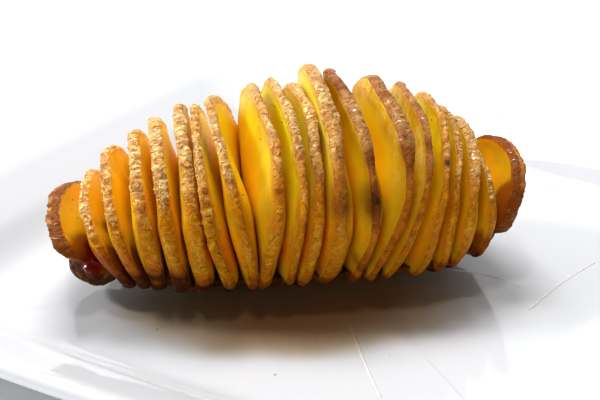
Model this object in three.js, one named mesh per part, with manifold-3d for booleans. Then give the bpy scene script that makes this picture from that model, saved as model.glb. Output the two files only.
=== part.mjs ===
// A hasselback potato on a square glazed dish, in millimetres, +Z up. The origin is on the surface
// that the dish stands on, under the dish's centre, and X and Y run along the dish's sides.
// The potato is one solid: thin slices that stay joined by the uncut keel along its underside.
import * as THREE from "three";
import { mergeVertices } from "three/addons/utils/BufferGeometryUtils.js";
import Module from "manifold-3d";

const wasm = await Module();
wasm.setup();

// Dish
const DISH_SIDE = 200;
const DISH_CORNER_RADIUS = 17;
const DISH_SIDE_BOW = 1.5; // each side swells outward by this much at its middle
const DISH_FLOOR_TOP = 6; // above the surface that the dish stands on
const WALL_FOOT_INSET = 34; // where the flat floor turns up into the wall
const SHOULDER_INSET = 18; // where the wall eases into the wide rim
const SHOULDER_RISE = 7; // above the dish's floor
const LIP_RISE = 13.8;
const LIP_ROUND = 1.7;
const DISH_WALL = 4.2;
const FOOT_INSET = 42;
const FOOT_WIDTH = 4;
const FOOT_CHAMFER = 0.5;

// Potato
const POTATO_TURN = 37.5; // degrees from the dish's X side to the potato's long axis
const POTATO_OFFSET = [-6, -13]; // centre of the potato on the dish's floor
const HALF_LENGTH = 60;
const HALF_WIDTH = 28.5;
const FULLEST_AT = 6; // station where the potato is fullest
const REST_GAP = 0.3;
const END_LIFT = 11; // the underside rises this much towards the two tips
const FLAT_BETWEEN = [-16, 22]; // stations outside which it rises
const KEEL_HEIGHT = 8; // the cuts stop this far above the dish's floor
const KEEL_WIDTH = 0.93; // of the slices' width, so the cuts still show below it
const KEEL_DEPTH = 27; // height of the oval that the keel is the bottom of
const KEEL_ENDS = [-51, 50];

// Lump of the underside that is left standing under the left end.
const LUMP_CENTRE = [-47.5, -1.5, 9.2];
const LUMP_RADII = [7.4, 11.5, 5.6];

// One row for each slice, from the left end to the right:
// at      station of the slice along the keel
// height  top of the slice above the dish's floor
// lean    how far the top leans towards the right end
// near    how far the near edge is turned towards the right end
// far     how far the far edge is turned towards the right end
// thick   thickness at the skin
// opensBy share of its height by which it has its full turn, where it isn't the usual one
// crown   share by which it is thicker again near the top
// low     height of its lowest point, for the two end slices
const SLICES = [
  { at: -45.9, height: 24, lean: -11.6, near: -1, far: 3.6, thick: 2.8, low: 12.3 },
  { at: -40.6, height: 28.2, lean: -9, near: -2.1, far: 0.8, thick: 2.1, opensBy: 0.9 },
  { at: -36.9, height: 34.3, lean: -7.7, near: -1.7, far: 2.8, thick: 2.3 },
  { at: -33.6, height: 38.6, lean: -4, near: -0.8, far: 1.6, thick: 2.9 },
  { at: -28.2, height: 41.5, lean: -4.2, near: -1.1, far: 1.6, thick: 3 },
  { at: -23.1, height: 44.1, lean: -3.2, near: -0.7, far: 1.8, thick: 3 },
  { at: -16.9, height: 44.2, lean: -5.8, near: -2.4, far: 1.8, thick: 2.1 },
  { at: -11.2, height: 46.5, lean: -8, near: 0.2, far: 5.2, thick: 2.1 },
  { at: -8.7, height: 48.7, lean: 0.9, near: 4.1, far: -0.4, thick: 2.3, opensBy: 1.05 },
  { at: -2.6, height: 50.3, lean: 0.4, near: 2.4, far: -0.6, thick: 1.7, opensBy: 0.72, crown: 0.5 },
  { at: 0.8, height: 48.6, lean: 2.4, near: 1.4, far: -0.6, thick: 2, crown: 0.4 },
  { at: 7.1, height: 53.3, lean: -0.6, near: 1.4, far: 1.2, thick: 2.9, crown: 0.35 },
  { at: 14, height: 52.3, lean: -2.7, near: 3.6, far: 3, thick: 1.7, crown: 0.9 },
  { at: 17.7, height: 49.9, lean: 4.6, near: 4.9, far: 0.8, thick: 1.7, opensBy: 0.64, crown: 1.4 },
  { at: 21.8, height: 47, lean: 8.2, near: 3.9, far: 3.2, thick: 1.4, opensBy: 1.05, crown: 0.5 },
  { at: 29.7, height: 44.6, lean: 6.9, near: -0.5, far: 2.6, thick: 1.7 },
  { at: 34.7, height: 40.8, lean: 5.7, near: -1.5, far: 2.6, thick: 1.5 },
  { at: 38.4, height: 37, lean: 6.7, near: -1.1, far: 2.6, thick: 1.6, crown: 0.6 },
  { at: 45.6, height: 32.4, lean: 1.9, near: 0.4, far: 1.8, thick: 1.3 },
  { at: 50, height: 31.8, lean: 6.4, near: -0.7, far: -3.2, thick: 2.8, low: 10.6 },
];
const WEDGE = 0.35; // slices are thicker by this share at the keel, and thin out upward
const TURNED_BY = 0.4; // share of a slice's height by which it has its full turn
const TURN_SOFT = 0.2; // share of the half width over which the turn begins softly
const SWELL_SHARE = 0.52; // share of a cut's width by which the flesh swells into it from each side
const SWELL_LIMIT = 3;
const SWELL_EDGE = 0.955; // share of the radius inside which the flesh swells
const END_DOME = [1.2, 1.8]; // how far the rounded ends swell past the first and the last slice
const UNEVEN = [0.012, 0.008]; // share of the radius by which a slice's edge wanders

// Resolution
const AROUND_DISH_CORNER = 6;
const ALONG_DISH_SIDE = 6;
const AROUND_SLICE = 28;
const ALONG_KEEL = 18;
const SMALLEST_EDGE = 0.06;

// How full the potato is at a station, from 0 at its tips to 1 where it is fullest.
function fullness(x) {
  const reach = x < FULLEST_AT ? HALF_LENGTH + FULLEST_AT : HALF_LENGTH - FULLEST_AT;
  const u = Math.min(0.995, Math.abs(x - FULLEST_AT) / reach);
  return Math.sqrt(1 - u ** 2.4);
}

// The underside lies flat on the dish in the middle and lifts towards both ends.
function underside(x) {
  const [start, end] = FLAT_BETWEEN;
  const past = Math.max(0, (start - x) / (HALF_LENGTH + start), (x - end) / (HALF_LENGTH - end));
  return REST_GAP + END_LIFT * past ** 2.2;
}

const slices = SLICES.map((row, index) => ({ ...row, index, halfWidth: HALF_WIDTH * fullness(row.at) }));

function lathe(profile, segments) {
  return new THREE.LatheGeometry(profile.map(([r, h]) => new THREE.Vector2(r, h)), segments);
}

// Turns a lathed disc into a placed shape: place gets each vertex's radius, its angle about the
// lathe's axis and its height along that axis.
function reshape(geometry, place) {
  const position = geometry.getAttribute("position");
  for (let i = 0; i < position.count; i++) {
    const radius = Math.hypot(position.getX(i), position.getZ(i));
    const angle = Math.atan2(position.getZ(i), position.getX(i));
    position.setXYZ(i, ...place(radius, angle, position.getY(i)));
  }
  return geometry;
}

// A closed geometry as a solid, turned outward whichever way its faces point.
function solid(geometry) {
  const plain = geometry.clone();
  plain.deleteAttribute("normal");
  plain.deleteAttribute("uv");
  const merged = mergeVertices(plain, 1e-3);
  const triangles = [];
  for (let i = 0; i < merged.index.count; i += 3) {
    const [a, b, c] = [0, 1, 2].map((k) => merged.index.getX(i + k));
    if (a !== b && b !== c && c !== a) triangles.push(a, b, c);
  }
  const make = (order) =>
    new wasm.Manifold(
      new wasm.Mesh({
        numProp: 3,
        vertProperties: merged.attributes.position.array,
        triVerts: new Uint32Array(order),
      }),
    );
  const made = make(triangles);
  return made.volume() > 0 ? made : make(triangles.reverse());
}

// A solid as a geometry for a mesh.
function geometryOf(made) {
  const mesh = made.getMesh();
  const points = new Float32Array(mesh.numVert * 3);
  for (let i = 0; i < mesh.numVert; i++) {
    points.set(mesh.vertProperties.subarray(i * mesh.numProp, i * mesh.numProp + 3), i * 3);
  }
  const geometry = new THREE.BufferGeometry();
  geometry.setAttribute("position", new THREE.BufferAttribute(points, 3));
  geometry.setIndex(new THREE.BufferAttribute(mesh.triVerts, 1));
  geometry.computeVertexNormals();
  return geometry;
}

// How far up a slice a height is, from 0 at the keel to 1 at its top.
function upSlice(slice, z) {
  return Math.min(1, Math.max(0, (z - KEEL_HEIGHT) / (slice.height - KEEL_HEIGHT)));
}

// Where the middle of a slice runs: upright at the keel, then leaning and turning further up.
function middleOf(slice, y, z) {
  const up = upSlice(slice, z);
  const share = Math.min(1, up / (slice.opensBy ?? TURNED_BY));
  const opened = share * share * (3 - 2 * share);
  const fromMiddle = Math.hypot(y / slice.halfWidth, TURN_SOFT) - TURN_SOFT;
  const turned = (fromMiddle / (Math.hypot(1, TURN_SOFT) - TURN_SOFT)) * (y < 0 ? slice.near : slice.far);
  return slice.at + slice.lean * up ** 1.15 + turned * opened;
}

// Thickness of a slice at a height: slices thin out upward, and some widen again at the top.
function thicknessOf(slice, z) {
  const up = upSlice(slice, z);
  const crown = (slice.crown ?? 0) * THREE.MathUtils.smoothstep(up, 0.65, 0.85);
  return slice.thick * (1 + WEDGE * (1 - up) ** 1.5 + crown);
}

// How far the wet flesh on one side of a slice, -1 or 1, swells into the cut beside it.
function swellOf(slice, side, y, z, radius) {
  const beside = slices[slice.index + side];
  if (!beside) return 0;
  const apart = side * (middleOf(beside, y, z) - middleOf(slice, y, z));
  const cut = Math.max(0, apart - (thicknessOf(slice, z) + thicknessOf(beside, z)) / 2);
  const lower = 1 - THREE.MathUtils.clamp((upSlice(slice, z) - 0.45) / 0.4, 0, 1);
  const fromEdge = 1 - Math.min(1, radius / SWELL_EDGE) ** 12;
  return Math.min(SWELL_LIMIT, SWELL_SHARE * cut) * fromEdge * lower;
}

// Outline of a slice at an angle: a slightly squared oval with an uneven edge, flat where it rests.
function outlineOf(slice, angle, radius) {
  const low = slice.low ?? underside(slice.at);
  const centre = (slice.height + low) / 2;
  const tall = (slice.height - low) / 2;
  const power = 2 / (slice.low === undefined ? 2.15 : 2.3);
  const c = Math.cos(angle);
  const s = Math.sin(angle);
  const wander = UNEVEN[0] * Math.sin(3 * angle + slice.index * 2.1);
  const ripple = UNEVEN[1] * Math.sin(7 * angle + slice.index * 1.3);
  const uneven = 1 + wander + ripple;
  const y = slice.halfWidth * Math.sign(c) * Math.abs(c) ** power * uneven * radius;
  const z = centre + tall * Math.sign(s) * Math.abs(s) ** power * radius * (s > 0 ? uneven : 1);
  return [y, Math.max(z, REST_GAP)];
}

// Section of a slice from one face's middle over the rounded skin edge to the other face's middle:
// the faces dish a little. The end slices get rings for the face that swells into a rounded end.
function sliceProfile(half, dome) {
  const profile = [
    [0, -half * 0.8],
    [0.86, -half * 0.95],
    [0.95, -half],
    [1, -half * 0.55],
    [1, half * 0.55],
    [0.95, half],
    [0.86, half * 0.95],
    [0, half * 0.8],
  ];
  const rings = [0.35, 0.62].map((r) => [r, Math.sign(dome) * half * 0.9]);
  if (dome < 0) profile.splice(1, 0, ...rings);
  if (dome > 0) profile.splice(profile.length - 1, 0, ...rings.reverse());
  return profile;
}

function sliceSolid(slice) {
  const last = slices.length - 1;
  const dome = slice.index === 0 ? -END_DOME[0] : slice.index === last ? END_DOME[1] : 0;
  const disc = lathe(sliceProfile(slice.thick / 2, dome), AROUND_SLICE);
  return solid(
    reshape(disc, (radius, angle, across) => {
      const [y, z] = outlineOf(slice, angle, radius);
      const bulge = across * dome > 0 ? dome * Math.sqrt(Math.max(0, 1 - radius * radius)) : 0;
      const side = Math.sign(across);
      const swell = side * swellOf(slice, side, y, z, radius);
      return [middleOf(slice, y, z) + (across * thicknessOf(slice, z)) / slice.thick + bulge + swell, y, z];
    }),
  );
}

// The keel: the uncut underside that holds the slices together. Its section at each station is
// the bottom of an oval, cut flat at the height where the cuts end.
function keelSolid() {
  const [from, to] = KEEL_ENDS;
  const profile = [[0, from]];
  for (let i = 0; i <= ALONG_KEEL; i++) profile.push([1, from + ((to - from) * i) / ALONG_KEEL]);
  profile.push([0, to]);
  const height = KEEL_HEIGHT - REST_GAP;
  return solid(
    reshape(lathe(profile, AROUND_SLICE), (radius, angle, x) => {
      const low = underside(x);
      const tall = KEEL_DEPTH * fullness(x);
      const halfWidth = HALF_WIDTH * fullness(x) * KEEL_WIDTH;
      const widest = halfWidth * Math.sqrt(1 - ((tall - height) / tall) ** 2);
      const y = widest * Math.cos(angle) * radius;
      const bottom = low + tall - tall * Math.sqrt(1 - (y / halfWidth) ** 2);
      const z = Math.sin(angle) > 0 ? low + height : Math.min(bottom, low + height);
      return [x, y, radius === 0 ? low + height / 2 : z];
    }),
  );
}

function lumpSolid() {
  const ball = new THREE.SphereGeometry(1, 20, 12);
  ball.scale(...LUMP_RADII);
  ball.translate(...LUMP_CENTRE);
  return solid(ball);
}

function potatoSolid() {
  let whole = keelSolid().add(lumpSolid());
  for (const slice of slices) whole = whole.add(sliceSolid(slice));
  return whole.asOriginal().simplify(SMALLEST_EDGE);
}

// Outline of the dish at full size, as points round a square with bowed sides and round corners.
function dishOutline() {
  const half = DISH_SIDE / 2;
  const flat = half - DISH_CORNER_RADIUS;
  const side = [];
  for (let i = 0; i < ALONG_DISH_SIDE; i++) {
    const t = (2 * i) / ALONG_DISH_SIDE - 1;
    side.push(new THREE.Vector2(half - DISH_SIDE_BOW * t * t, flat * t));
  }
  for (let i = 0; i < AROUND_DISH_CORNER; i++) {
    const a = (i / AROUND_DISH_CORNER) * (Math.PI / 2);
    side.push(
      new THREE.Vector2(
        flat - DISH_SIDE_BOW + DISH_CORNER_RADIUS * Math.cos(a),
        flat - DISH_SIDE_BOW * Math.sin(a) + DISH_CORNER_RADIUS * Math.sin(a),
      ),
    );
  }
  const centre = new THREE.Vector2();
  return [0, 1, 2, 3].flatMap((quarter) =>
    side.map((point) => point.clone().rotateAround(centre, (quarter * Math.PI) / 2)),
  );
}

// Wall and rim of the dish, from the floor's edge to the lip: the wall is a soft S, the rim straight.
function slopeOfDish() {
  const half = DISH_SIDE / 2;
  const foot = new THREE.Vector2(half - WALL_FOOT_INSET, DISH_FLOOR_TOP);
  const shoulder = new THREE.Vector2(half - SHOULDER_INSET, DISH_FLOOR_TOP + SHOULDER_RISE);
  const lip = new THREE.Vector2(half - LIP_ROUND, DISH_FLOOR_TOP + LIP_RISE);
  const wide = shoulder.x - foot.x;
  const rimSlope = (lip.y - shoulder.y) / (lip.x - shoulder.x);
  const wall = new THREE.CubicBezierCurve(
    foot,
    new THREE.Vector2(foot.x + wide * 0.45, foot.y),
    new THREE.Vector2(shoulder.x - wide * 0.3, shoulder.y - wide * 0.3 * rimSlope),
    shoulder,
  );
  return [...wall.getPoints(6), lip];
}

// Section of the dish, from the middle of its floor over the lip and back along the underside.
function dishProfile() {
  const half = DISH_SIDE / 2;
  const slope = slopeOfDish();
  const lipTop = slope[slope.length - 1];
  const lip = new THREE.EllipseCurve(
    lipTop.x, lipTop.y - LIP_ROUND, LIP_ROUND, LIP_ROUND, Math.PI / 2, -Math.PI / 3, true,
  );
  const under = slope.slice(0, -1).reverse().map((point) => [point.x, point.y - DISH_WALL]);
  const flat = DISH_FLOOR_TOP - DISH_WALL;
  const footOut = half - FOOT_INSET + FOOT_WIDTH / 2;
  const footIn = half - FOOT_INSET - FOOT_WIDTH / 2;
  return [
    [0, DISH_FLOOR_TOP],
    ...slope.slice(0, -1).map((point) => [point.x, point.y]),
    ...lip.getPoints(5).map((point) => [point.x, point.y]),
    ...under,
    [footOut, flat],
    [footOut, FOOT_CHAMFER],
    [footOut - FOOT_CHAMFER, 0],
    [footIn + FOOT_CHAMFER, 0],
    [footIn, FOOT_CHAMFER],
    [footIn, flat],
    [0, flat],
  ];
}

function dishSolid() {
  const half = DISH_SIDE / 2;
  const outline = dishOutline();
  const count = outline.length;
  return solid(
    reshape(lathe(dishProfile(), count), (radius, angle, z) => {
      const index = Math.round((angle / (2 * Math.PI)) * count + count) % count;
      return [(outline[index].x * radius) / half, (outline[index].y * radius) / half, z];
    }),
  );
}

function named(name, made, color, roughness) {
  const material = new THREE.MeshStandardMaterial({ color, roughness, metalness: 0 });
  const mesh = new THREE.Mesh(geometryOf(made), material);
  mesh.name = name;
  return mesh;
}

const dish = named("dish", dishSolid(), 0xf4f4f6, 0.12);

const potato = named("potato", potatoSolid(), 0xc98a1c, 0.45);
potato.position.set(POTATO_OFFSET[0], POTATO_OFFSET[1], DISH_FLOOR_TOP);
potato.rotation.z = THREE.MathUtils.degToRad(POTATO_TURN);

const served = new THREE.Group();
served.add(dish, potato);
export default served;
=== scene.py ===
# %% [markdown]
# A hasselback potato is a whole potato cut across into thin slices that stay joined along its
# underside. In the oven the slices fan apart, their skin dries to crinkled golden bands and the oiled
# flesh between them turns amber and lets light through. This one lies on a square glazed dish.
# The frame gives both solids at their real size. The dish is made again with more faces, because its
# gloss would show every flat one, and the potato is made again with its skin, its cuts and its relief.

# %% The frame
import math
import random

import bmesh
import bpy
from mathutils import Matrix, Vector, bvhtree, geometry, noise


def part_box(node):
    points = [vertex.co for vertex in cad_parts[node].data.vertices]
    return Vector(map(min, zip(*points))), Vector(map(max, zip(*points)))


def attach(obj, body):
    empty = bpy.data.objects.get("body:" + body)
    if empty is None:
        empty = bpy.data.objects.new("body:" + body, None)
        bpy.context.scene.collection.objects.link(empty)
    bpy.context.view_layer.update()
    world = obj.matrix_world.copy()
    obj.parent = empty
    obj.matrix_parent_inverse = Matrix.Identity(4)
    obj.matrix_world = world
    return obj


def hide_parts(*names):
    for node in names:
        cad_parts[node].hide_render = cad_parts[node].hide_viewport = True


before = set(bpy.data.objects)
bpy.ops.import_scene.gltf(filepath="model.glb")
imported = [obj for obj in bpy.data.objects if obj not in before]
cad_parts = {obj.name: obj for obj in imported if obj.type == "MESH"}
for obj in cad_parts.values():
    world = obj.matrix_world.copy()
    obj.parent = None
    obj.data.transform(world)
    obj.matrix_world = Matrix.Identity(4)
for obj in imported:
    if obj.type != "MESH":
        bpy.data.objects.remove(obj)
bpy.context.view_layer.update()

MM = 0.001
dish_low, dish_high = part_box("dish")
potato_low, potato_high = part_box("potato")
print("dish box, mm:", [round(v / MM, 1) for v in (*dish_low, *dish_high)])
print("potato box, mm:", [round(v / MM, 1) for v in (*potato_low, *potato_high)])

# %% [markdown]
# The camera looks down on the dish by 24 degrees, past the dish's near corner, through a lens a
# little longer than a plain one. Its place was worked out from the corners of the dish and the tops
# of the slices.

# %% The camera
CAMERA_PLACE = Vector((122.3, -243.1, 144.4)) * MM
CAMERA_HEADING = math.radians(28.5)
CAMERA_PITCH = math.radians(24.2)
CAMERA_LENS = 69

camera_data = bpy.data.cameras.new("camera")
camera_data.lens = CAMERA_LENS
camera_data.sensor_width = 36
camera_data.clip_start = 0.01
camera = bpy.data.objects.new("camera", camera_data)
camera.location = CAMERA_PLACE
camera.rotation_euler = (math.pi / 2 - CAMERA_PITCH, 0, CAMERA_HEADING)
bpy.context.scene.collection.objects.link(camera)
bpy.context.scene.camera = camera
print("camera at", [round(v, 4) for v in camera.location])

# %% [markdown]
# A material is a web of nodes, and most of its work is arithmetic on values. Written node by node
# that is hard to read, so one small class stands for the output of a node and turns +, - and * into
# Math nodes. Every other node comes from one function.

# %% Nodes as expressions
class Value:
    """The output of a node. Arithmetic on it adds Math nodes to the same material."""

    def __init__(self, socket):
        self.socket = socket

    def maths(self, operation, first, second):
        settings = {"operation": operation}
        return add_node(self.socket.id_data, "ShaderNodeMath", settings, {0: first, 1: second})

    def __add__(self, other):
        return self.maths("ADD", self, other)

    def __sub__(self, other):
        return self.maths("SUBTRACT", self, other)

    def __rsub__(self, other):
        return self.maths("SUBTRACT", other, self)

    def __mul__(self, other):
        return self.maths("MULTIPLY", self, other)

    __radd__ = __add__
    __rmul__ = __mul__

    def limited(self):
        """The same value, kept between 0 and 1."""
        return add_node(self.socket.id_data, "ShaderNodeClamp", {}, {0: self})


def add_node(tree, kind, settings, sockets, output=0):
    """Adds a node, sets it up, then fills or links its sockets, which may be named or numbered."""
    node = tree.nodes.new(kind)
    for name, value in settings.items():
        setattr(node, name, value)
    for name, value in sockets.items():
        if isinstance(value, Value):
            tree.links.new(value.socket, node.inputs[name])
        else:
            node.inputs[name].default_value = value
    return Value(node.outputs[output]) if node.outputs else None


def mixed(factor, first, second):
    """A colour between two colours. Each may be a value or three numbers."""
    colours = [c if isinstance(c, Value) else (*c, 1) for c in (first, second)]
    sockets = {0: factor, 6: colours[0], 7: colours[1]}
    return add_node(factor.socket.id_data, "ShaderNodeMix", {"data_type": "RGBA"}, sockets, 2)


def layered(colour, layers):
    """A colour with others laid over it in turn, each given by its share and its colour."""
    for share, tone in layers:
        colour = mixed(share, colour, tone)
    return colour


def ramp(value, low, high):
    """0 where the value is at low, 1 where it is at high, and smooth between them."""
    settings = {"interpolation_type": "SMOOTHSTEP"}
    sockets = {"Value": value, "From Min": low, "From Max": high}
    return add_node(value.socket.id_data, "ShaderNodeMapRange", settings, sockets)


def noise_at(vector, scale, detail=2.0, roughness=0.5, distortion=0.0):
    """A cloudy pattern from 0 to 1 that is read at a vector."""
    sockets = {"Vector": vector, "Scale": scale, "Detail": detail, "Roughness": roughness}
    sockets["Distortion"] = distortion
    return add_node(vector.socket.id_data, "ShaderNodeTexNoise", {}, sockets)


def object_place(tree):
    """The place of a point on its own object, in metres."""
    return add_node(tree, "ShaderNodeTexCoord", {}, {}, output=3)


def stretched(vector, scale, shift=(0, 0, 0), turn=0.0):
    """The same vector, scaled along each axis, turned in its plane and moved."""
    sockets = {"Vector": vector, "Scale": scale, "Location": shift, "Rotation": (0, 0, turn)}
    return add_node(vector.socket.id_data, "ShaderNodeMapping", {}, sockets)


def new_material(name):
    """An empty material and its node tree, to be finished with the function below."""
    material = bpy.data.materials.new(name)
    material.use_nodes = True
    material.node_tree.nodes.clear()
    return material, material.node_tree


def finish_material(material, sockets):
    """Ends a material in a Principled shader and returns it."""
    shader = add_node(material.node_tree, "ShaderNodeBsdfPrincipled", {}, sockets)
    add_node(material.node_tree, "ShaderNodeOutputMaterial", {}, {"Surface": shader})
    return material


def plain_material(name, sockets):
    """A material that is the same all over."""
    return finish_material(new_material(name)[0], sockets)


def bumped(height, distance):
    """Normals for a height, where distance is how far a height of 1 stands out, in metres."""
    sockets = {"Height": height, "Distance": distance}
    return add_node(height.socket.id_data, "ShaderNodeBump", {}, sockets)


print("node helpers ready")

# %% [markdown]
# Every new piece is built in a bmesh in millimetres, then scaled to metres and given to an object at
# the origin, so its place is in its mesh. Faces are smooth unless two of them meet at a clear angle.

# %% From a bmesh to a piece
SHARP_ANGLE = math.radians(50)


def object_from(bm, name, materials):
    """Turns a bmesh in millimetres into an object in metres."""
    bmesh.ops.scale(bm, vec=(MM, MM, MM), verts=bm.verts)
    for face in bm.faces:
        face.smooth = True
    mesh = bpy.data.meshes.new(name)
    bm.to_mesh(mesh)
    bm.free()
    for material in materials:
        mesh.materials.append(material)
    made = bpy.data.objects.new(name, mesh)
    bpy.context.scene.collection.objects.link(made)
    return made


def spun(profile, steps, axis):
    """A profile of (radius, height) points spun round an axis, X or Z, into a closed bmesh."""
    bm = bmesh.new()
    places = [(r, 0, h) if axis == "Z" else (h, r, 0) for r, h in profile]
    line = [bm.verts.new(place) for place in places]
    edges = [bm.edges.new(pair) for pair in zip(line, line[1:])]
    turn = (0, 0, 1) if axis == "Z" else (1, 0, 0)
    bmesh.ops.spin(
        bm, geom=line + edges, cent=(0, 0, 0), axis=turn, angle=2 * math.pi, steps=steps, use_merge=True
    )
    bmesh.ops.remove_doubles(bm, verts=bm.verts, dist=1e-4)
    bmesh.ops.recalc_face_normals(bm, faces=bm.faces)
    return bm


def triangles_of(made):
    """How many triangles an object has."""
    return sum(len(face.vertices) - 2 for face in made.data.polygons)


# %% [markdown]
# The dish is one section swept round a square with soft corners: a flat floor, a wall that rises in a
# soft S, a wide rim and a rounded lip. A profile is spun into a round dish, and then each ring of
# points is moved out to the square. Where the round dish has its n-th step, the square has its n-th
# point, so the two need the same count.

# %% The dish's sizes
DISH_SIDE = (dish_high.x - dish_low.x) / MM
DISH_CORNER_RADIUS = 17
DISH_SIDE_BOW = 1.5
DISH_FLOOR_TOP = 6
WALL_FOOT_INSET = 34
SHOULDER_INSET = 18
SHOULDER_RISE = 7
LIP_RISE = 13.8
LIP_ROUND = 1.7
DISH_WALL = 4.2
FOOT_INSET = 42
FOOT_WIDTH = 4
FOOT_ROUND = 0.5
AROUND_DISH_CORNER = 20
ALONG_DISH_SIDE = 12
HALF_DISH = DISH_SIDE / 2


def dish_outline():
    """Points round the square with bowed sides and round corners."""
    flat = HALF_DISH - DISH_CORNER_RADIUS
    shares = [2 * i / ALONG_DISH_SIDE - 1 for i in range(ALONG_DISH_SIDE)]
    side = [Vector((HALF_DISH - DISH_SIDE_BOW * t * t, flat * t)) for t in shares]
    for i in range(AROUND_DISH_CORNER):
        a = i / AROUND_DISH_CORNER * math.pi / 2
        x = flat - DISH_SIDE_BOW + DISH_CORNER_RADIUS * math.cos(a)
        y = flat - DISH_SIDE_BOW * math.sin(a) + DISH_CORNER_RADIUS * math.sin(a)
        side.append(Vector((x, y)))
    turns = [Matrix.Rotation(quarter * math.pi / 2, 2) for quarter in range(4)]
    return [turn @ point for turn in turns for point in side]


def dish_slope():
    """Wall and rim in section, from the floor's edge to the lip."""
    foot = Vector((HALF_DISH - WALL_FOOT_INSET, DISH_FLOOR_TOP))
    shoulder = Vector((HALF_DISH - SHOULDER_INSET, DISH_FLOOR_TOP + SHOULDER_RISE))
    lip = Vector((HALF_DISH - LIP_ROUND, DISH_FLOOR_TOP + LIP_RISE))
    wide = shoulder.x - foot.x
    rim_slope = (lip.y - shoulder.y) / (lip.x - shoulder.x)
    out_of_foot = Vector((foot.x + wide * 0.45, foot.y))
    into_shoulder = Vector((shoulder.x - wide * 0.3, shoulder.y - wide * 0.3 * rim_slope))
    wall = geometry.interpolate_bezier(foot, out_of_foot, into_shoulder, shoulder, 19)
    rim = [shoulder.lerp(lip, share) for share in (0.33, 0.66, 1)]
    return [Vector((point[0], point[1])) for point in wall] + rim


def arc(centre, radius, start, end, steps):
    """Points on a round stretch, with angles in degrees."""
    angles = [math.radians(start + (end - start) * i / steps) for i in range(steps + 1)]
    return [(centre[0] + radius * math.cos(a), centre[1] + radius * math.sin(a)) for a in angles]


def dish_profile():
    """The whole section, from the middle of the floor over the lip and back underneath."""
    slope = dish_slope()
    lip_top = slope[-1]
    lip = arc((lip_top.x, lip_top.y - LIP_ROUND), LIP_ROUND, 90, -60, 12)
    under = [(point.x, point.y - DISH_WALL) for point in reversed(slope[:-1])]
    flat = DISH_FLOOR_TOP - DISH_WALL
    foot_out = HALF_DISH - FOOT_INSET + FOOT_WIDTH / 2
    foot_in = HALF_DISH - FOOT_INSET - FOOT_WIDTH / 2
    floor = [(slope[0].x * share, DISH_FLOOR_TOP) for share in (0, 0.25, 0.5, 0.75, 0.93)]
    foot_ring = [(foot_out, flat)]
    foot_ring += arc((foot_out - FOOT_ROUND, FOOT_ROUND), FOOT_ROUND, 0, -90, 3)
    foot_ring += arc((foot_in + FOOT_ROUND, FOOT_ROUND), FOOT_ROUND, 270, 180, 3)
    foot_ring += [(foot_in, flat), (0, flat)]
    return floor + [(p.x, p.y) for p in slope[:-1]] + lip + under + foot_ring


# %% The dish's mesh
def build_dish():
    outline = dish_outline()
    count = len(outline)
    bm = spun(dish_profile(), count, "Z")
    for vert in bm.verts:
        radius = math.hypot(vert.co.x, vert.co.y)
        index = round(math.atan2(vert.co.y, vert.co.x) / (2 * math.pi) * count) % count
        vert.co.x = outline[index].x * radius / HALF_DISH
        vert.co.y = outline[index].y * radius / HALF_DISH
    return bm


# %% [markdown]
# The glaze is white with a breath of blue. What makes it look like porcelain is the sharp reflection
# over a surface that isn't quite flat, so a very low, wide swell goes into its normals, and a few
# fine pits and rubbed marks break the gloss.

# %% The glaze
def glaze_material():
    material, tree = new_material("glaze")
    place = object_place(tree)
    swell = noise_at(place, 22, detail=1.0)
    marks = ramp(noise_at(place, 420, detail=3.0), 0.62, 0.8)
    cloud = noise_at(place, 9, detail=2.0)
    colour = mixed(cloud, (0.62, 0.63, 0.655), (0.65, 0.66, 0.68))
    sockets = {
        "Base Color": colour,
        "Roughness": 0.06 + 0.10 * marks,
        "IOR": 1.5,
        "Normal": bumped(swell, 0.35 * MM),
    }
    return finish_material(material, sockets)


glaze = glaze_material()
dish = object_from(build_dish(), "glazed_dish", [glaze])
dish.data.set_sharp_from_angle(angle=SHARP_ANGLE)
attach(dish, "root")
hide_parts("dish")
print("dish:", triangles_of(dish), "triangles")

# %% [markdown]
# The potato is described by its slices. Each has a place along the keel, a height, a lean, a turn of
# its near and its far edge, and a thickness at the skin. The functions below say how wide the whole
# potato is at a station, how high its underside is, and where a slice's middle and edge run. They
# are the ones that the solid was made with.

# %% The potato's sizes
POTATO_TURN = math.radians(37.5)
POTATO_OFFSET = Vector((-6, -13, DISH_FLOOR_TOP))
HALF_LENGTH = 60
HALF_WIDTH = 28.5
FULLEST_AT = 6
REST_GAP = 0.3
END_LIFT = 11
FLAT_BETWEEN = (-16, 22)
KEEL_HEIGHT = 8
KEEL_WIDTH = 0.93
KEEL_DEPTH = 27
KEEL_ENDS = (-51, 50)
LUMP_CENTRE = Vector((-47.5, -1.5, 9.2))
LUMP_RADII = Vector((7.4, 11.5, 5.6))
WEDGE = 0.35
# The wet flesh swells into a cut from both sides, by a share of the cut's width and a limit in mm.
SWELL_SHARE = 0.52
SWELL_LIMIT = 3.0
SWELL_EDGE = 0.955
TURNED_BY = 0.4
TURN_SOFT = 0.2
END_DOME = (1.2, 1.8)
UNEVEN = (0.012, 0.008)

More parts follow.
